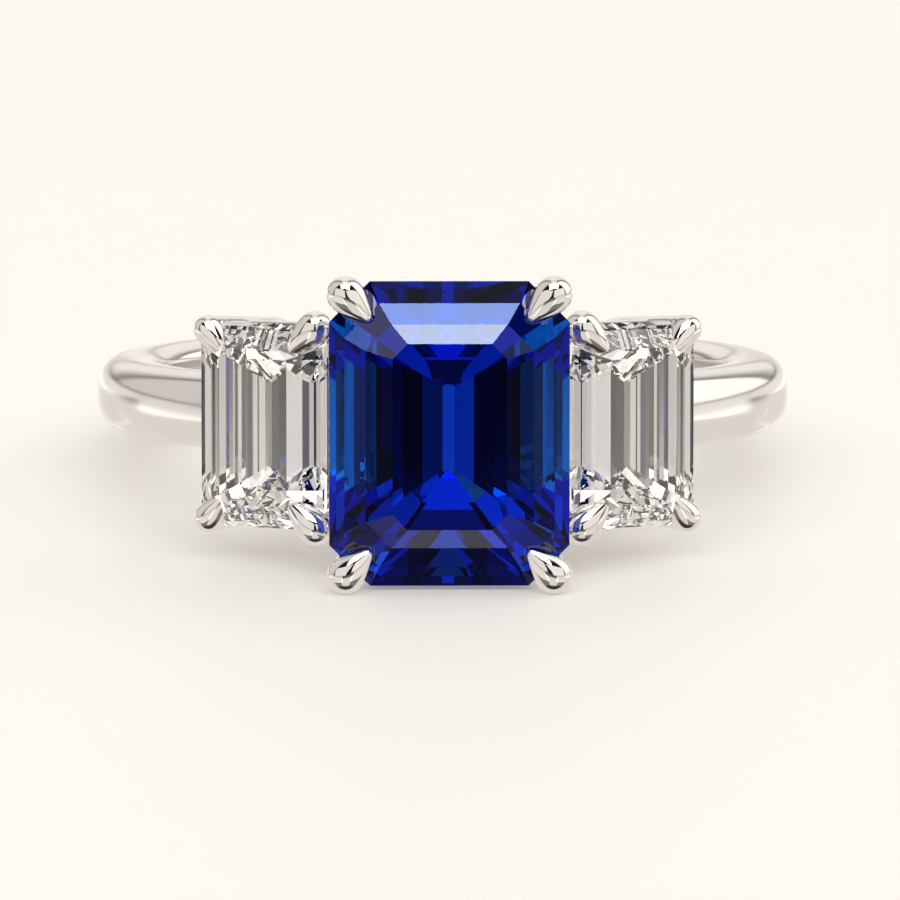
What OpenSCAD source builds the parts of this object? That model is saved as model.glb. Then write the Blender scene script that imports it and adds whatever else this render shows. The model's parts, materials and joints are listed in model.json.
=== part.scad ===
// Three-stone ring lying on its side: a cut-corner step-cut sapphire between two
// step-cut diamonds, each in a four-claw basket on a plain rounded shank.

/* [Shank] */
// Inside diameter of the finger hole, a US size 6 1/2
hole_d = 16.92; // [15:0.1:20]
// Radial thickness of the shank
shank_t = 1.94; // [1.4:0.02:2.4]
// Width of the shank along the finger
shank_w = 2.2; // [1.6:0.05:3]
// Width of the straight stretch of the inside wall
wall_w = 1.1; // [0.6:0.05:1.4]
// Squareness of the shank's section, 2 is round
squareness = 2.5; // [2:0.1:4]

/* [Sapphire] */
// Width across the sapphire's girdle
sapphire_w = 6.76; // [6:0.02:7]
// Length of the sapphire's girdle
sapphire_l = 8.58; // [8:0.02:9]
// Cut off each corner of the sapphire
sapphire_cut = 1.15; // [0.8:0.05:1.4]
// From the ring's centre to the middle of the sapphire's girdle
sapphire_out = 14.15; // [14.1:0.05:14.3]

/* [Diamonds] */
// Width across a diamond's girdle
diamond_w = 4.0; // [3.8:0.02:4.1]
// Length of a diamond's girdle
diamond_l = 5.86; // [5.5:0.02:6]
// Cut off each corner of a diamond
diamond_cut = 0.56; // [0.4:0.02:0.7]
// From the ring's middle plane to a diamond's centre
diamond_aside = 5.22; // [5.2:0.02:5.5]
// From the ring's centre forward to a diamond's centre
diamond_out = 11.5; // [11.3:0.05:11.8]
// Angle that a diamond is turned outward
diamond_turn = 26; // [24:1:28]

/* [Claws and rails] */
// Radius of the round end of a sapphire's claw
big_claw = 0.53; // [0.45:0.01:0.6]
// Radius of the round end of a diamond's claw next to the sapphire
inner_claw = 0.5; // [0.4:0.01:0.5]
// Radius of the round end of a diamond's outer claw
outer_claw = 0.42; // [0.35:0.01:0.45]
// Radius of a claw's point
claw_point = 0.19; // [0.1:0.01:0.25]
// Thickness of the gallery rails, across and along the stone's axis
rail_t = 0.5; // [0.4:0.05:0.6]
// Gap between a stone and its seat
seat_gap = 0.04; // [0.03:0.01:0.06]

/* [Hidden] */
$fn = 96;

hole_r = hole_d / 2;
shank_mid = hole_r + shank_t / 2;
arc_steps = 8;

// A stone is a stack of cut-corner rectangles, from the culet up to the table
H = 0; // height above the middle of the girdle
IN_W = 1; // inset from the girdle, across
IN_L = 2; // inset from the girdle, along
CUT = 3; // share of the girdle's corner cut
sapphire_levels = [
    [-3.64, 3.21, 3.04, 0.05],
    [-2.88, 2.32, 2.23, 0.27],
    [-1.15, 0.78, 0.68, 0.57],
    [-0.08, 0.00, 0.00, 1.00],
    [0.08, 0.00, 0.00, 1.00],
    [0.53, 0.43, 0.58, 0.85],
    [0.87, 1.02, 1.15, 0.64],
    [1.09, 1.78, 1.68, 0.37]
];
diamond_levels = [
    [-2.15, 1.94, 1.69, 0.08],
    [-1.60, 1.20, 1.06, 0.36],
    [-0.90, 0.46, 0.38, 0.72],
    [-0.05, 0.00, 0.00, 1.00],
    [0.05, 0.00, 0.00, 1.00],
    [0.27, 0.23, 0.20, 0.86],
    [0.52, 0.55, 0.44, 0.70],
    [0.76, 0.93, 0.69, 0.50]
];

// A claw grips a cut corner: radius of its round end, that end's place from the middle of
// the corner, across, along and up, and how far its point reaches in over the crown
R = 0;
PLACE = 1;
REACH = 2;
big = [big_claw, [0.115, 0.235, 0.42], 0.86];
inner = [inner_claw, [0.03, 0.20, 0.30], 0.90];
outer = [outer_claw, [-0.07, 0.05, 0.30], 0.80];
point_rise = 0.18; // from the middle of the round end up to the point
foot_share = 0.85; // of the round end's radius, at the claw's foot
neck_share = 0.95; // of the round end's radius, just under it

// Rails under the stones: inset from the girdle, across and along, depth of the rail's
// top, and its height
IN = 0;
DEEP = 1;
TALL = 2;
big_rails = [[[0.22, 0.22], 0.95, 0.50], [[1.35, 1.35], 2.95, 1.20]];
small_rails = [[[0.02, 0.02], 0.80, 0.50], [[0.85, 0.12], 1.90, 0.80]];
// How far the claws' feet stand in from the middles of the corners, across and along
big_feet = [1.36, 1.36];
small_feet = [0.94, 0.10];
closing = (2 - sqrt(2)) / 2; // share of an inset that comes off the corner cut

function last(list) = list[len(list) - 1];

// Corners of a rectangle with cut corners
function cut_rect(a, b, k) = [
    [a, b - k], [a - k, b], [k - a, b], [-a, b - k],
    [-a, k - b], [k - a, -b], [a - k, -b], [a, k - b]
];

// Outline of a stone of width w, length l and corner cut c at one level
function outline(w, l, c, level) = cut_rect(
    w / 2 - level[IN_W], l / 2 - level[IN_L], c * level[CUT]
);

module stone(w, l, c, levels, grow = 0) {
    top = len(levels) - 1;
    points = [
        for (i = [0:top])
            let (lift = i == 0 ? -grow : i == top ? grow : 0)
                for (p = outline(w + 2 * grow, l + 2 * grow, c + 2 * grow * closing, levels[i]))
                    [p.x, p.y, levels[i][H] + lift]
    ];
    sides = [
        for (i = [0:top - 1], j = [0:7])
            [8 * i + j, 8 * (i + 1) + j, 8 * (i + 1) + (j + 1) % 8, 8 * i + (j + 1) % 8]
    ];
    culet = [[for (j = [0:7]) j]];
    table = [[for (j = [7:-1:0]) 8 * top + j]];
    polyhedron(points, concat(culet, sides, table));
}

module sapphire_stone(grow = 0) {
    stone(sapphire_w, sapphire_l, sapphire_cut, sapphire_levels, grow);
}

module diamond_stone(grow = 0) {
    stone(diamond_w, diamond_l, diamond_cut, diamond_levels, grow);
}

// Stands its children, drawn along +Z, on the line from p to q
module along(p, q) {
    d = q - p;
    translate(p) rotate([0, acos(d.z / norm(d)), atan2(d.y, d.x)]) children();
}

// Round at the origin, tapering to a small round point at height reach
module teardrop(r, point, reach) {
    lean = asin((r - point) / reach);
    rotate_extrude() polygon(concat(
        [for (i = [0:arc_steps]) let (a = -90 + (90 + lean) * i / arc_steps) r * [cos(a), sin(a)]],
        [for (i = [0:3]) let (a = lean + (90 - lean) * i / 3) [0, reach] + point * [cos(a), sin(a)]]
    ));
}

// A rail's outline, inset from the girdle across and along
function inset_rect(w, l, c, inset) = cut_rect(
    w / 2 - inset.x, l / 2 - inset.y, c - (inset.x + inset.y) / 2 * closing
);

// A claw of one kind on the corner of a stone, from its foot up over the crown; side is
// 1 or -1 across and along
module claw(kind, corner, foot, side) {
    ball = [side.x * (corner.x + kind[PLACE].x), side.y * (corner.y + kind[PLACE].y), kind[PLACE].z];
    tip = ball + [-side.x * kind[REACH] / sqrt(2), -side.y * kind[REACH] / sqrt(2), point_rise];
    along(ball, tip) teardrop(kind[R], claw_point, norm(tip - ball));
    along(foot, ball)
        cylinder(h = norm(ball - foot), r1 = foot_share * kind[R], r2 = neck_share * kind[R]);
}

// Four claws and two cut-corner rails round a stone of width w, length l and corner cut c;
// left and right are the kinds of claw on its two sides, and feet is where they stand
module basket(w, l, c, left, right, rails, feet) {
    corner = [w / 2 - c / 2, l / 2 - c / 2];
    base = last(rails);
    for (sx = [-1, 1], sy = [-1, 1])
        claw(
            sx < 0 ? left : right, corner,
            [sx * (corner.x - feet.x), sy * (corner.y - feet.y), -base[DEEP] - base[TALL] / 2],
            [sx, sy]
        );
    for (rail = rails)
        translate([0, 0, -rail[DEEP] - rail[TALL]]) linear_extrude(rail[TALL]) difference() {
            polygon(inset_rect(w, l, c, rail[IN]));
            polygon(inset_rect(w, l, c, rail[IN] + [rail_t, rail_t]));
        }
}

// Quarter of the shank's section, a squared ellipse from angle a0 to a1
function squared_arc(c, r, a0, a1) = [
    for (i = [0:arc_steps])
        let (a = a0 + (a1 - a0) * i / arc_steps, p = 2 / squareness)
            c + [r.x * sign(cos(a)) * pow(abs(cos(a)), p), r.y * sign(sin(a)) * pow(abs(sin(a)), p)]
];

module shank() {
    half = [shank_t / 2, shank_w / 2];
    corner = [half.x, half.y - wall_w / 2];
    rotate_extrude($fn = 180) polygon(concat(
        squared_arc([shank_mid, -wall_w / 2], corner, 180, 270),
        squared_arc([shank_mid, 0], half, 270, 360),
        squared_arc([shank_mid, 0], half, 0, 90),
        squared_arc([shank_mid, wall_w / 2], corner, 90, 180)
    ));
}

// Places of the stones round the ring, whose finger hole runs along Z
module at_sapphire() {
    translate([0, -sapphire_out, 0]) rotate([90, 0, 0]) children();
}

module at_diamond(side) {
    translate([side * diamond_aside, -diamond_out, 0])
        rotate([0, 0, side * diamond_turn]) rotate([90, 0, 0]) children();
}

// The ring lies on its two lower sapphire claws and the back of the shank
q = squareness / (squareness - 1);
function reach_to(a, b) = pow(pow(shank_t / 2 * a, q) + pow(shank_w / 2 * b, q), 1 / q);
claw_y = sapphire_out + big[PLACE].z;
claw_z = sapphire_l / 2 - sapphire_cut / 2 + big[PLACE].y;
function lie(angle, rounds) = rounds == 0 ? angle : lie(
    asin((claw_z * cos(angle) + big_claw - reach_to(sin(angle), cos(angle))) / (claw_y + shank_mid)),
    rounds - 1
);
lean = lie(8, 8);
lift = claw_z * cos(lean) + big_claw - claw_y * sin(lean);
front = (sapphire_out + last(sapphire_levels)[H]) * cos(lean)
    + (sapphire_l / 2 - last(sapphire_levels)[IN_L]) * sin(lean);
back = shank_mid * cos(lean) + reach_to(cos(lean), sin(lean));

module lying() {
    translate([0, (front - back) / 2, lift]) rotate([-lean, 0, 0]) children();
}

module ring_mount() {
    color("gainsboro") lying() difference() {
        union() {
            shank();
            at_sapphire()
                basket(sapphire_w, sapphire_l, sapphire_cut, big, big, big_rails, big_feet);
            at_diamond(-1)
                basket(diamond_w, diamond_l, diamond_cut, outer, inner, small_rails, small_feet);
            at_diamond(1)
                basket(diamond_w, diamond_l, diamond_cut, inner, outer, small_rails, small_feet);
        }
        at_sapphire() sapphire_stone(seat_gap);
        for (side = [-1, 1]) at_diamond(side) diamond_stone(seat_gap);
    }
}

module sapphire() {
    color("mediumblue") lying() at_sapphire() sapphire_stone();
}

module diamond_left() {
    color("azure") lying() at_diamond(-1) diamond_stone();
}

module diamond_right() {
    color("azure") lying() at_diamond(1) diamond_stone();
}

ring_mount();
sapphire();
diamond_left();
diamond_right();
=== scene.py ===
# Dresses the three-stone ring: smooth polished metal round the cut stones, a pale table
# and soft studio light. Lengths in the dictionaries are millimetres, angles are degrees.
import json
import math
import bmesh
import bpy
from mathutils import Matrix, Vector


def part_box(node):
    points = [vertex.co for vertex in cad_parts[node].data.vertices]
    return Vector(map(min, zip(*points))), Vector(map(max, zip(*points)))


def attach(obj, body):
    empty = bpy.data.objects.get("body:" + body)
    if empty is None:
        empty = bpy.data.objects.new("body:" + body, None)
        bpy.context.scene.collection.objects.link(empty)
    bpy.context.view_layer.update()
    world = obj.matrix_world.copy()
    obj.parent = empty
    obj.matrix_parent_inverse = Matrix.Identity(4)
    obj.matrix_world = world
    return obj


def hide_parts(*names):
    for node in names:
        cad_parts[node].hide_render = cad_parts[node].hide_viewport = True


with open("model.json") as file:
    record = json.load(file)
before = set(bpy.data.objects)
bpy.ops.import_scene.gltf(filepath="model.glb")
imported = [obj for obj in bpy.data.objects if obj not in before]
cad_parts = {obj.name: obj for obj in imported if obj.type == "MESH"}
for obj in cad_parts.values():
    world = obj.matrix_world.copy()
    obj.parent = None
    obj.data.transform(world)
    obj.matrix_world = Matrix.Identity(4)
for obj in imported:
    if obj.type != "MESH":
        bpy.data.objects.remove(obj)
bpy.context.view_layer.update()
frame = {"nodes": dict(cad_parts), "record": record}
print("stage: frame loaded")

mm = 0.001
hole = frame["record"]["mounts"][0]  # the finger hole gives the ring's centre, lean and size
holeRadius = hole["dims"]["r_mm"]
lean = math.atan2(hole["axis"][1], hole["axis"][2])
# From the ring's own frame, in mm, with the hole along Z and the stones towards -Y
ringPlace = Matrix.Translation(hole["pos_m"]) @ Matrix.Rotation(-lean, 4, "X") @ Matrix.Scale(mm, 4)


# Shader tools

class Wire:  # an output socket: arithmetic on it adds Math nodes
    def __init__(self, graph, socket):
        self.graph = graph
        self.socket = socket

    def __add__(self, other):
        return self.graph.math("ADD", self, other)

    def __sub__(self, other):
        return self.graph.math("SUBTRACT", self, other)

    def __rsub__(self, other):
        return self.graph.math("SUBTRACT", other, self)

    def __mul__(self, other):
        return self.graph.math("MULTIPLY", self, other)

    def __truediv__(self, other):
        return self.graph.math("DIVIDE", self, other)

    __rmul__ = __mul__


class Graph:  # a node tree that is written as calls
    def __init__(self, tree):
        self.tree = tree
        tree.nodes.clear()

    def node(self, kind, settings, sockets, out=0):
        made = self.tree.nodes.new(kind)
        for name, value in settings.items():
            setattr(made, name, value)
        for name, value in sockets.items():
            if isinstance(value, Wire):
                self.tree.links.new(value.socket, made.inputs[name])
            else:
                made.inputs[name].default_value = value
        return Wire(self, made.outputs[out]) if made.outputs else made

    def math(self, operation, *values):
        return self.node("ShaderNodeMath", {"operation": operation}, dict(enumerate(values)))

    def blend(self, mask, low, high):  # low where the mask is 0, high where it is 1
        return self.node("ShaderNodeMapRange", {}, {"Value": mask, "To Min": low, "To Max": high})

    def step(self, value, start, end):  # a soft step from 0 at start to 1 at end
        return self.node("ShaderNodeMapRange", {"interpolation_type": "SMOOTHSTEP"},
                         {"Value": value, "From Min": start, "From Max": end})

    def colours(self, mask, low, high):
        return self.node("ShaderNodeMix", {"data_type": "RGBA"}, {"Factor": mask, 6: low, 7: high}, 2)


def newMaterial(name):
    made = bpy.data.materials.new(name)
    made.use_nodes = True
    return made, Graph(made.node_tree)


# Materials

polish = {
    "colour": (0.88, 0.855, 0.83, 1),
    "tint": (0.85, 0.82, 0.79, 1),  # where handling has dulled it a little
    "crisp": (0.035, 0.075),  # roughness of the baskets
    "handled": (0.15, 0.20),  # and of the shank, rubbed by the finger
    "clouds": {"Scale": 260, "Detail": 3, "Roughness": 0.55},
    "worn": (0.42, 0.68),  # the handling shows where the clouds rise from the first value to the second
    "scratches": {"Scale": 5200, "Detail": 2, "Roughness": 0.6},
    "scratchStretch": (1, 1, 0.12),
    "scratchStrength": 0.25,
    "scratchHeight": 0.0000006,  # in metres
    "seatOut": 10.4,  # the metal under the sapphire's culet is left satin
    "seatReach": (1.9, 1.33),  # the satin begins at the first distance and is full at the second
    "seatRoughness": 0.6,
}


def polishedMetal(name, finish):
    made, graph = newMaterial(name)
    place = graph.node("ShaderNodeTexCoord", {}, {}, "Object")
    clouds = graph.node("ShaderNodeTexNoise", {}, {"Vector": place, **polish["clouds"]}, "Fac")
    stretched = graph.node("ShaderNodeVectorMath", {"operation": "MULTIPLY"}, {
        0: place, 1: polish["scratchStretch"]})
    scratches = graph.node("ShaderNodeTexNoise", {}, {"Vector": stretched, **polish["scratches"]}, "Fac")
    worn = graph.step(clouds, *polish["worn"])
    fromCulet = graph.node("ShaderNodeVectorMath", {"operation": "DISTANCE"}, {
        0: place, 1: ringPlace @ Vector((0, -polish["seatOut"], 0))}, "Value")
    unpolished = graph.step(fromCulet, *[reach * mm for reach in polish["seatReach"]])
    low, high = polish[finish]
    bump = graph.node("ShaderNodeBump", {}, {
        "Strength": polish["scratchStrength"],
        "Distance": polish["scratchHeight"],
        "Height": scratches,
    }, "Normal")
    shader = graph.node("ShaderNodeBsdfPrincipled", {}, {
        "Base Color": graph.colours(worn, polish["colour"], polish["tint"]),
        "Metallic": 1.0,
        "Roughness": graph.blend(unpolished, graph.blend(worn, low, high), polish["seatRoughness"]),
        "Normal": bump,
    })
    graph.node("ShaderNodeOutputMaterial", {}, {"Surface": shader})
    return made


gems = {
    "sapphire": {"ior": 1.77, "absorb": (0.0, 0.64, 0.935, 1), "density": 1000.0},
    "diamond": {"ior": 2.42, "absorb": (0.93, 0.90, 0.86, 1), "density": 30.0},
    "haze": {"Scale": 900.0, "Detail": 2},  # faint polishing marks on both
    "hazeShows": (0.55, 0.8),
    "hazeRoughness": 0.012,
}


def gem(name):
    look = gems[name]
    made, graph = newMaterial(name)
    place = graph.node("ShaderNodeTexCoord", {}, {}, "Object")
    haze = graph.node("ShaderNodeTexNoise", {}, {"Vector": place, **gems["haze"]}, "Fac")
    shader = graph.node("ShaderNodeBsdfPrincipled", {}, {
        "Base Color": (1, 1, 1, 1),
        "Roughness": graph.blend(graph.step(haze, *gems["hazeShows"]), 0.0, gems["hazeRoughness"]),
        "IOR": look["ior"],
        "Transmission Weight": 1.0,
    })
    depth = graph.node("ShaderNodeVolumeAbsorption", {}, {
        "Color": look["absorb"], "Density": look["density"]})
    graph.node("ShaderNodeOutputMaterial", {}, {"Surface": shader, "Volume": depth})
    return made


basketMetal = polishedMetal("polished_metal", "crisp")
shankMetal = polishedMetal("handled_metal", "handled")
print("stage: metal ready")


# Mesh tools: closed shapes are drawn in mm, then set in place

def newObject(name, bm, place, material):
    mesh = bpy.data.meshes.new(name)
    bmesh.ops.transform(bm, matrix=place, verts=bm.verts)
    bmesh.ops.recalc_face_normals(bm, faces=bm.faces)
    bm.to_mesh(mesh)
    bm.free()
    mesh.materials.append(material)
    made = bpy.data.objects.new(name, mesh)
    bpy.context.scene.collection.objects.link(made)
    return made


# Joins rings of equal counts into a skin; the last ring meets the first where it is a hoop,
# and both ends are closed where it isn't
def skin(bm, rings, hoop):
    rows = [[bm.verts.new(point) for point in ring] for ring in rings]
    for first, second in zip(rows, rows[1:] + rows[:1] if hoop else rows[1:]):
        for i in range(len(first)):
            j = (i + 1) % len(first)
            bm.faces.new((first[i], first[j], second[j], second[i]))
    if not hoop:
        bm.faces.new(rows[0])
        bm.faces.new(rows[-1])


def arc(centre, radii, start, end, steps, power=1.0):
    found = []
    for i in range(steps + 1):
        angle = math.radians(start + (end - start) * i / steps)
        c, s = math.cos(angle), math.sin(angle)
        found.append((centre[0] + radii[0] * math.copysign(abs(c) ** power, c),
                      centre[1] + radii[1] * math.copysign(abs(s) ** power, s)))
    return found


# Turns a profile of (radius, height) about the line from start towards end
def turned(bm, profile, start, end, sides):
    frameUp = (end - start).to_track_quat("Z", "Y").to_matrix().to_4x4()
    frameUp.translation = start
    rings = []
    for radius, height in profile:
        ring = []
        for i in range(sides):
            a = 2 * math.pi * i / sides
            ring.append(frameUp @ Vector((radius * math.cos(a), radius * math.sin(a), height)))
        rings.append(ring)
    skin(bm, rings, False)


# Shank

shankSizes = {
    "thickness": 1.94,
    "width": 2.2,
    "flatWall": 1.1,  # the straight stretch inside
    "squareness": 2.5,
    "stepsRound": 288,
    "stepsQuarter": 12,
}


def shankSection():
    s = shankSizes
    middle = holeRadius + s["thickness"] / 2
    half = (s["thickness"] / 2, s["width"] / 2)
    inner = (half[0], half[1] - s["flatWall"] / 2)
    power, steps = 2 / s["squareness"], s["stepsQuarter"]
    section = []
    section += arc((middle, -s["flatWall"] / 2), inner, 180, 270, steps, power)
    section += arc((middle, 0), half, 270, 360, steps, power)[1:]
    section += arc((middle, 0), half, 0, 90, steps, power)[1:]
    section += arc((middle, s["flatWall"] / 2), inner, 90, 180, steps, power)[1:]
    return section


def makeShank():
    bm = bmesh.new()
    section = shankSection()
    rings = []
    for i in range(shankSizes["stepsRound"]):
        a = 2 * math.pi * i / shankSizes["stepsRound"]
        rings.append([(r * math.cos(a), r * math.sin(a), z) for r, z in section])
    skin(bm, rings, True)
    made = newObject("shank", bm, ringPlace, shankMetal)
    made.data.shade_smooth()
    made.visible_transmission = False  # the stones show the room behind them instead
    return made


# Baskets

stoneSizes = {  # width, length and corner cut of the girdles
    "sapphire": (6.76, 8.58, 1.15),
    "diamond": (4.0, 5.86, 0.56),
}
girdles = {  # middles of the girdles: across, out from the ring's axis, and turn round it
    "sapphire": (0, 14.15, 0),
    "diamond_left": (-5.22, 11.5, -26),
    "diamond_right": (5.22, 11.5, 26),
}
stonePlaces = {}
for name, (across, out, turn) in girdles.items():
    stonePlaces[name] = (Matrix.Translation((across, -out, 0))
                         @ Matrix.Rotation(math.radians(turn), 4, "Z")
                         @ Matrix.Rotation(math.radians(90), 4, "X"))

clawKinds = {  # radius, place of the round end from the corner (across, along, up), reach
    "big": (0.53, (0.115, 0.235, 0.42), 0.86),
    "inner": (0.50, (0.03, 0.20, 0.30), 0.90),
    "outer": (0.42, (-0.07, 0.05, 0.30), 0.80),
}
clawSizes = {
    "point": 0.19,  # radius of the small end
    "pointRise": 0.18,
    "belly": 0.42,  # how far along the claw its fullness reaches
    "foot": 0.85,  # radii of the leg's ends, as shares of the round end's
    "neck": 0.95,
    "pole": 88,  # where the round ends close
    "ballSteps": 18,
    "curveSteps": 12,
    "tipSteps": 10,
    "legSteps": 6,
    "sides": 40,
}
clawFeet = {"sapphire": (1.36, 1.36), "diamond": (0.94, 0.10)}  # in from the corner, across and along
railSizes = {  # inset from the girdle (across, along), depth of the top, height
    "sapphire": (((0.22, 0.22), 0.95, 0.50), ((1.35, 1.35), 2.95, 1.20)),
    "diamond": (((0.02, 0.02), 0.80, 0.50), ((0.85, 0.12), 1.90, 0.80)),
    "thickness": 0.5,
    "edge": 0.14,
    "edgeSteps": 4,
}
basketFinish = {
    "voxel": 0.05,
    "smoothing": 6,
    "seatGap": 0.02,
    "merge": 0.0001,  # a stone's corners closer than this are one
    "sharp": 38,
}
closing = (2 - math.sqrt(2)) / 2  # share of an inset that comes off the corner cut


def cutRectangle(a, b, cut):
    return [(a, b - cut), (a - cut, b), (cut - a, b), (-a, b - cut),
            (-a, cut - b), (cut - a, -b), (a - cut, -b), (a, cut - b)]


def teardrop(radius, reach):  # profile: round at the origin, then a full curve to a small round point
    s = clawSizes
    point, belly = s["point"], s["belly"]
    slope = math.degrees(math.atan2(radius - point, reach * (1 - belly)))
    profile = arc((0, 0), (radius, radius), -s["pole"], 0, s["ballSteps"])
    tip = arc((0, reach), (point, point), slope, s["pole"], s["tipSteps"])
    start, swell, end = Vector(profile[-1]), Vector((radius, belly * reach)), Vector(tip[0])
    for i in range(1, s["curveSteps"]):
        t = i / s["curveSteps"]
        profile.append(tuple(start.lerp(swell, t).lerp(swell.lerp(end, t), t)))
    return profile + tip


def addClaw(bm, kind, corner, foot, side):
    s = clawSizes
    radius, place, reach = clawKinds[kind]
    ball = Vector((side[0] * (corner[0] + place[0]), side[1] * (corner[1] + place[1]), place[2]))
    inward = reach / math.sqrt(2)
    tip = ball + Vector((-side[0] * inward, -side[1] * inward, s["pointRise"]))
    turned(bm, teardrop(radius, (tip - ball).length), ball, tip, s["sides"])
    height = (ball - foot).length
    low, high = s["foot"] * radius, s["neck"] * radius
    leg = arc((0, 0), (low, low), -s["pole"], 0, s["legSteps"])
    leg += arc((0, height), (high, high), 0, s["pole"], s["legSteps"])
    turned(bm, leg, foot, ball, s["sides"])


def addRail(bm, width, length, cut, rail):
    (across, along), deep, tall = rail
    edge, thick = railSizes["edge"], railSizes["thickness"]
    near, far = edge, thick - edge
    top, bottom = -deep - edge, -deep - tall + edge
    section = []
    for centre, start in (((far, top), 0), ((near, top), 90), ((near, bottom), 180), ((far, bottom), 270)):
        section += arc(centre, (edge, edge), start, start + 90, railSizes["edgeSteps"])
    rings = []
    for u, z in section:
        a, b = width / 2 - across - u, length / 2 - along - u
        closed = cut - (u + (across + along) / 2) * closing
        rings.append([(x, y, z) for x, y in cutRectangle(a, b, closed)])
    skin(bm, rings, True)


def makeBasket(name, stone, left, right, stoneNode):
    width, length, cut = stoneSizes[stone]
    rails = railSizes[stone]
    deep, tall = rails[-1][1:]
    corner = (width / 2 - cut / 2, length / 2 - cut / 2)
    feet = (corner[0] - clawFeet[stone][0], corner[1] - clawFeet[stone][1])
    bm = bmesh.new()
    for across in (-1, 1):
        for along in (-1, 1):
            foot = Vector((across * feet[0], along * feet[1], -deep - tall / 2))
            addClaw(bm, left if across < 0 else right, corner, foot, (across, along))
    for rail in rails:
        addRail(bm, width, length, cut, rail)

    made = newObject(name, bm, ringPlace @ stonePlaces[stoneNode], basketMetal)
    fuse = made.modifiers.new("fuse", "REMESH")
    fuse.mode = "VOXEL"
    fuse.voxel_size = basketFinish["voxel"] * mm
    soften = made.modifiers.new("soften", "SMOOTH")
    soften.iterations = basketFinish["smoothing"]
    return made


def grownStone(node):  # the stone's own form, larger by the seat's gap
    bm = bmesh.new()
    bm.from_mesh(frame["nodes"][node].data)
    bmesh.ops.remove_doubles(bm, verts=bm.verts, dist=basketFinish["merge"] * mm)
    lowest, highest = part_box(node)
    middle = (lowest + highest) / 2
    growth = 1 + 2 * basketFinish["seatGap"] * mm / min(highest - lowest)
    for vert in bm.verts:
        vert.co = middle + (vert.co - middle) * growth
    return newObject(node + "_seat", bm, Matrix.Identity(4), basketMetal)


def seatStones(basket, cutters):
    for cutter in cutters:
        cut = basket.modifiers.new("seat", "BOOLEAN")
        cut.operation = "DIFFERENCE"
        cut.solver = "MANIFOLD"
        cut.object = cutter
    depsgraph = bpy.context.evaluated_depsgraph_get()
    finished = bpy.data.meshes.new_from_object(basket.evaluated_get(depsgraph))
    basket.modifiers.clear()
    basket.data = finished
    finished.shade_smooth()
    finished.set_sharp_from_angle(angle=math.radians(basketFinish["sharp"]))


shank = makeShank()
print("stage: shank made")
cutters = [grownStone(node) for node in ("sapphire", "diamond_left", "diamond_right")]
baskets = [
    makeBasket("basket_centre", "sapphire", "big", "big", "sapphire"),
    makeBasket("basket_left", "diamond", "outer", "inner", "diamond_left"),
    makeBasket("basket_right", "diamond", "inner", "outer", "diamond_right"),
]
for basket in baskets:
    seatStones(basket, cutters)
    basket.visible_transmission = False
    print("stage:", basket.name, len(basket.data.polygons), "faces")
for cutter in cutters:
    bpy.data.objects.remove(cutter)
for piece in [shank] + baskets:
    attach(piece, "root")
    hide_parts("ring_mount")

stoneLooks = {"sapphire": gem("sapphire"), "diamond_left": gem("diamond")}
stoneLooks["diamond_right"] = stoneLooks["diamond_left"]
for node, look in stoneLooks.items():
    for place in frame["nodes"][node].material_slots:
        place.material = look
print("stage: stones dressed")


# Table

table = {
    "colour": (0.71, 0.70, 0.67, 1),
    "dust": 0.985,  # the colour's share where the grain is darkest
    "grain": {"Scale": 60.0, "Detail": 4},
    "painted_glow": (0.237, 0.222, 0.201, 1),  # painted light: the table glows a little, which lightens its shadows
    "roughness": 0.5,
    "gloss": 0.15,
    "size": 6000,
}


def makeTable():
    made, graph = newMaterial("pale_table")
    place = graph.node("ShaderNodeTexCoord", {}, {}, "Object")
    grain = graph.node("ShaderNodeTexNoise", {}, {"Vector": place, **table["grain"]}, "Fac")
    dusty = tuple(table["dust"] * c for c in table["colour"][:3]) + (1,)
    shader = graph.node("ShaderNodeBsdfPrincipled", {}, {
        "Base Color": graph.colours(grain, dusty, table["colour"]),
        "Roughness": table["roughness"],
        "Specular IOR Level": table["gloss"],
        # painted light: the table's own glow, which lifts its shadows
        "Emission Color": table["painted_glow"],
        "Emission Strength": 1.0,
    })
    graph.node("ShaderNodeOutputMaterial", {}, {"Surface": shader})
    bm = bmesh.new()
    half = table["size"] / 2
    corners = ((-half, -half, 0), (half, -half, 0), (half, half, 0), (-half, half, 0))
    bm.faces.new([bm.verts.new(point) for point in corners])
    floor = newObject("table_top", bm, Matrix.Scale(mm, 4), made)
    floor.visible_glossy = False  # the stones and the metal see the room's own ground
    floor.visible_transmission = False
    floor.visible_shadow = False  # so the low softboxes reach the ring
    return floor


tableTop = makeTable()


# Light: a pale room whose radiance changes with direction, and softboxes

room = {  # radiances, by direction
    "back": 0.95,  # the backdrop and the ceiling
    "left": 0.70,
    "right": 1.25,
    "front": 0.015,  # the dark side, where the camera stands
    "zenith": 0.18,  # the dark middle of the ceiling
    "seam": 0.20,  # where the backdrop meets the sides
    "seamFade": 0.35,  # the backdrop's own darkening towards that seam
    "horizon": 0.05,  # the table's far edge
    "below": 0.80,  # the table as the stones and the metal see it
    "belowFar": 0.12,  # its far part, towards the horizon
    "belowNear": 0.05,  # and the part in the stones' own shadow
    "belowAside": 0.22,  # to the left and right of the stones' front
    "belowBehind": 0.18,  # the hoop's shade, straight behind the sapphire
    "shown": 1.0,  # the backdrop as it is seen
    "colour": (1.0, 0.985, 0.955, 1),
    "warm": (1.0, 0.95, 0.895, 1),  # the walls and the table
    "cool": (1.0, 0.985, 0.965, 1),  # the ceiling
    "seamPlane": (0.79, 0.58, 0.18),  # its normal, from the left side to the backdrop
}
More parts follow.
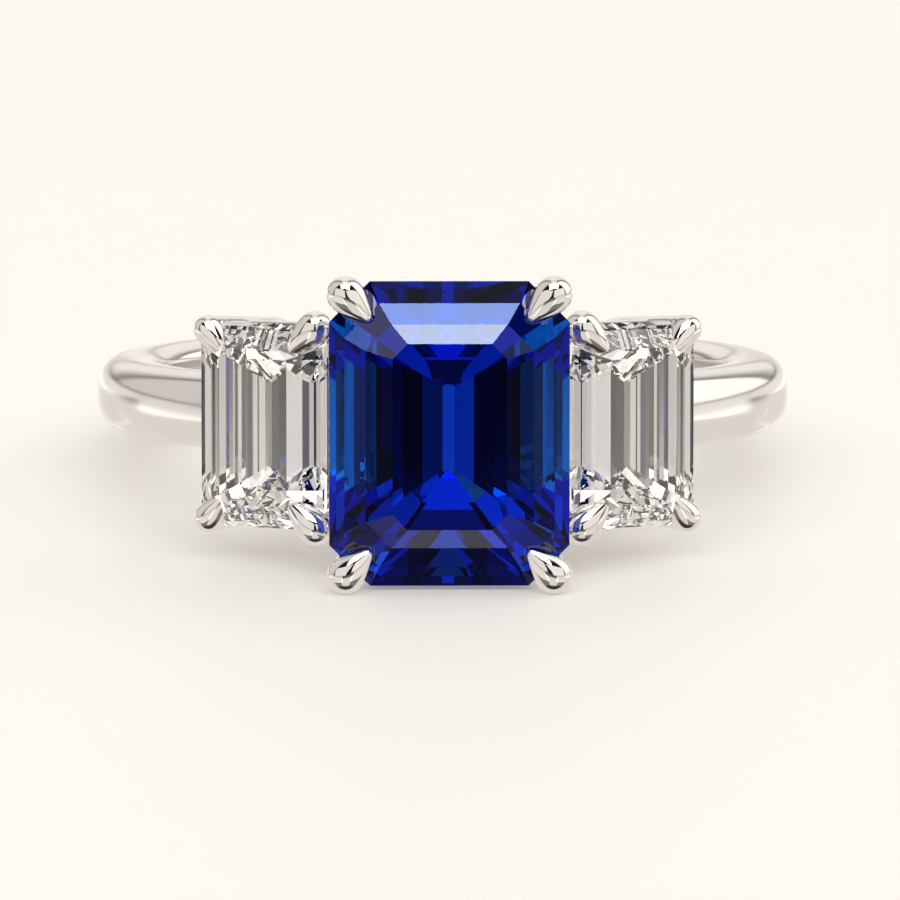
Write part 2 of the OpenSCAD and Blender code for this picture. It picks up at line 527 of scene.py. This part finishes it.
roomEdges = {  # soft steps, from 0 at the first value to 1 at the second
    # by height, -1 below to 1 above
    "frontTop": (0.93, 0.82),
    "zenith": (0.96, 0.975),
    "cool": (0.35, 0.65),
    "horizon": (0.045, 0.025),
    "ground": (0.01, -0.01),
    "nearBehind": (-0.13, -0.17),  # where the ground stops being far, in three directions
    "nearCorner": (-0.40, -0.46),
    "nearAhead": (-0.10, -0.24),
    "underfoot": (-0.78, -0.86),
    # by the level direction's part towards the back, -1 to 1
    "facing": (-0.05, -0.30),
    "ahead": (0.45, 0.20),
    "cornerStart": (0.70, 0.76),
    "cornerEnd": (0.975, 0.96),
    # by its part towards a side, 0 to 1
    "aside": (0.36, 0.46),
    "middle": (0.07, 0.045),
    # by the whole direction's part towards the back, then to the right, then across the seam
    "behind": (0.9, 0.93),
    "right": (-0.1, 0.1),
    "backdrop": (-0.02, 0.0),
}


def makeRoom():
    world = bpy.data.worlds.new("studio")
    bpy.context.scene.world = world
    world.use_nodes = True
    graph = Graph(world.node_tree)

    def edge(value, name):
        return graph.step(value, *roomEdges[name])

    way = graph.node("ShaderNodeTexCoord", {}, {}, "Generated")
    x, y, z = [graph.node("ShaderNodeSeparateXYZ", {}, {"Vector": way}, axis) for axis in "XYZ"]
    across, deep, up = room["seamPlane"]
    beyond = deep * y + up * z - across * graph.math("ABSOLUTE", x)  # above 0 on the backdrop
    level = graph.math("SQRT", 1.0001 - z * z)  # never quite 0
    back, side = y / level, graph.math("ABSOLUTE", x) / level
    facing = edge(back, "facing")

    sides = graph.blend(edge(x, "right"), room["left"], room["right"])
    sides = graph.blend(facing * edge(z, "frontTop"), sides, room["front"])
    wall = graph.blend(graph.step(beyond, 0, room["seamFade"]), room["seam"], room["back"])
    wall = graph.blend(edge(beyond, "backdrop"), sides, wall)
    wall = graph.blend(edge(z, "zenith"), wall, room["zenith"])
    wall = graph.blend(edge(z, "horizon"), wall, room["horizon"])

    ground = graph.blend(facing * edge(side, "aside"), room["below"], room["belowAside"])
    corner = edge(back, "cornerStart") * edge(back, "cornerEnd")
    close = graph.blend(corner, edge(z, "nearBehind"), edge(z, "nearCorner"))
    close = graph.blend(edge(back, "ahead"), close, edge(z, "nearAhead"))
    ground = graph.blend(close, room["belowFar"], ground)
    ground = graph.blend(edge(z, "underfoot") * facing, ground, room["belowNear"])
    behind = edge(side, "middle") * edge(y, "behind")
    ground = graph.blend(behind, ground, room["belowBehind"])

    wall = graph.blend(edge(z, "ground"), wall, ground)
    seen = graph.node("ShaderNodeLightPath", {}, {}, "Is Camera Ray")
    hue = graph.colours(edge(z, "cool"), room["warm"], room["cool"])
    light = graph.node("ShaderNodeBackground", {}, {
        "Color": graph.colours(seen, hue, room["colour"]),
        "Strength": graph.blend(seen, wall, room["shown"])})
    graph.node("ShaderNodeOutputWorld", {}, {"Surface": light})


# What each softbox lights, azimuth from the camera's side to the right, elevation, spread
# across and up in degrees, and radiance
softboxes = {
    "key": ("metal", 0, 62, 45, 31, 5.0),
    "table_key": ("table", 0, 46, 90, 34, 2.5),
    "table_fill": ("table", 0, 80, 130, 110, 0.16),
    "overhead": ("metal", 0, 88, 25, 25, 0.8),
    "front_left": ("metal", -39, 22, 62, 39, 0.85),
    "front_right": ("metal", 39, 22, 62, 39, 0.95),
    "apron_left": ("metal", -48, -16, 56, 34, 0.65),
    "apron_right": ("metal", 48, -16, 56, 34, 0.65),
    "flank_left": ("metal", -98, -6, 46, 13, 0.7),
    "flank_right": ("metal", 98, -6, 46, 13, 0.8),
    "heel_left": ("metal", -151, -17, 30, 18, 0.68),
    "heel_right": ("metal", 151, -17, 30, 18, 0.68),
    "heel_back": ("metal", 180, -11, 7, 21, 0.1),
    "back_strip": ("metal", 180, -5, 116, 11, 0.78),
    "keel_back": ("sapphire", 180, -10.5, 7, 21, 0.46),
    "top_row": ("sapphire", 1.5, 49.5, 7, 9, 9.0),
    "second_row": ("sapphire", 2, 65, 10, 2, 7.6),
    "keel_foot": ("sapphire", 1, 27, 14, 10, 2.0),
    "keel_top": ("sapphire", 1, 17, 14, 8, 0.9),
    "keel_fan": ("sapphire", 1, 9.5, 14, 5, 1.4),
    "left_of_keel": ("sapphire", 19, 6, 4.5, 12, 0.14),
    "right_of_keel": ("sapphire", -19.5, 6, 5, 12, 0.6),
    "left_corner": ("sapphire", -41, 32, 32, 15, 0.7),
    "right_corner": ("sapphire", 33, 28, 20, 12, 0.25),
    "diamond_top": ("diamonds", 0, 68, 90, 55, 1.3),
    "diamond_upper": ("diamonds", 0, 25, 115, 32, 0.85),
    "diamond_under": ("diamonds", 0, -27, 130, 42, 0.6),
    "diamond_inner_left": ("diamonds", -16, 1, 13, 15, 0.7),
    "diamond_inner_right": ("diamonds", 16, 1, 13, 15, 0.7),
    "diamond_outer_left": ("diamonds", -53, 1, 20, 15, 0.6),
    "diamond_outer_right": ("diamonds", 53, 1, 20, 15, 0.6),
}
tints = {  # colours of the softboxes' light, by name or by what they light
    "top_row": (0.72, 0.85, 1.12),
    "second_row": (0.30, 0.49, 1.18),
    "keel_foot": (0.9, 0.66, 1.35),
    "keel_top": (0.9, 0.66, 1.35),
    "keel_back": (0.22, 0.04, 1.0),
    "metal": (1.0, 0.955, 0.91),
    "table": (1.0, 0.98, 0.95),
    "sapphire": (1.0, 0.985, 0.955),
    "diamonds": (1.0, 0.925, 0.85),
}
lampDistances = {"table_key": 2500, "table_fill": 2500, "second_row": 40, "other": 600}
lampAims = {"second_row": (0, 3.42, 0.70)}  # a point of the sapphire; the others face the origin


def makeSoftbox(name, lit):
    receiver, azimuth, elevation, across, upward, radiance = softboxes[name]
    distance = lampDistances.get(name, lampDistances["other"])
    aim = Vector((0, 0, 0))
    if name in lampAims:
        aim = ringPlace @ stonePlaces["sapphire"] @ Vector(lampAims[name])
    a, e = math.radians(azimuth), math.radians(elevation)
    towards = Vector((math.sin(a) * math.cos(e), -math.cos(a) * math.cos(e), math.sin(e)))
    lamp = bpy.data.lights.new(name, "AREA")
    lamp.shape = "RECTANGLE"
    lamp.size = 2 * distance * mm * math.tan(math.radians(across / 2))
    lamp.size_y = 2 * distance * mm * math.tan(math.radians(upward / 2))
    lamp.energy = radiance * math.pi * lamp.size * lamp.size_y
    lamp.color = tints.get(name, tints[receiver])
    made = bpy.data.objects.new("softbox_" + name, lamp)
    made.location = aim + towards * distance * mm
    made.rotation_euler = towards.to_track_quat("Z", "Y").to_euler()
    made.visible_camera = False
    bpy.context.scene.collection.objects.link(made)
    group = bpy.data.collections.new("lit_by_" + name)
    for piece in lit[receiver]:
        group.objects.link(piece)
    made.light_linking.receiver_collection = group


makeRoom()
lit = {
    "metal": [shank] + baskets,
    "table": [tableTop],
    "sapphire": [frame["nodes"]["sapphire"]],
    "diamonds": [frame["nodes"]["diamond_left"], frame["nodes"]["diamond_right"]],
}
for name in softboxes:
    makeSoftbox(name, lit)
print("stage: light ready")


# Camera, placed from the ring's middle in the ring's own frame

view = {
    "distance": 200.0,
    "elevation": 5.5,  # above the ring's own plane
    "yaw": -0.8,
    "pixelsPerMm": 33.09,  # at the ring's middle
    "middle": (442.85, 389.9),  # where the ring's middle shows, in the photograph's pixels
    "frame": 900,
    "sensor": 36.0,
}


def makeCamera():
    e, yaw = math.radians(view["elevation"]), math.radians(view["yaw"])
    right = Vector((math.cos(yaw), math.sin(yaw), 0))
    forward = Vector((-math.sin(yaw) * math.cos(e), math.cos(yaw) * math.cos(e), -math.sin(e)))
    up = right.cross(forward)
    half = view["frame"] / 2
    aside = (view["middle"][0] - half) / view["pixelsPerMm"]
    above = (half - view["middle"][1]) / view["pixelsPerMm"]
    place = -view["distance"] * forward - aside * right - above * up
    axes = Matrix((right, up, -forward)).transposed().to_4x4()
    data = bpy.data.cameras.new("camera")
    data.sensor_width = view["sensor"]
    data.lens = view["sensor"] * view["pixelsPerMm"] * view["distance"] / view["frame"]
    data.clip_start = 0.01
    made = bpy.data.objects.new("camera", data)
    turn = Matrix.Rotation(-lean, 4, "X") @ axes
    turn.translation = ringPlace @ place
    made.matrix_world = turn
    bpy.context.scene.collection.objects.link(made)
    bpy.context.scene.camera = made


makeCamera()
scene = bpy.context.scene
scene.view_settings.view_transform = "Standard"
scene.cycles.max_bounces = 32
scene.cycles.transmission_bounces = 28
scene.cycles.glossy_bounces = 12
print("stage: camera ready")
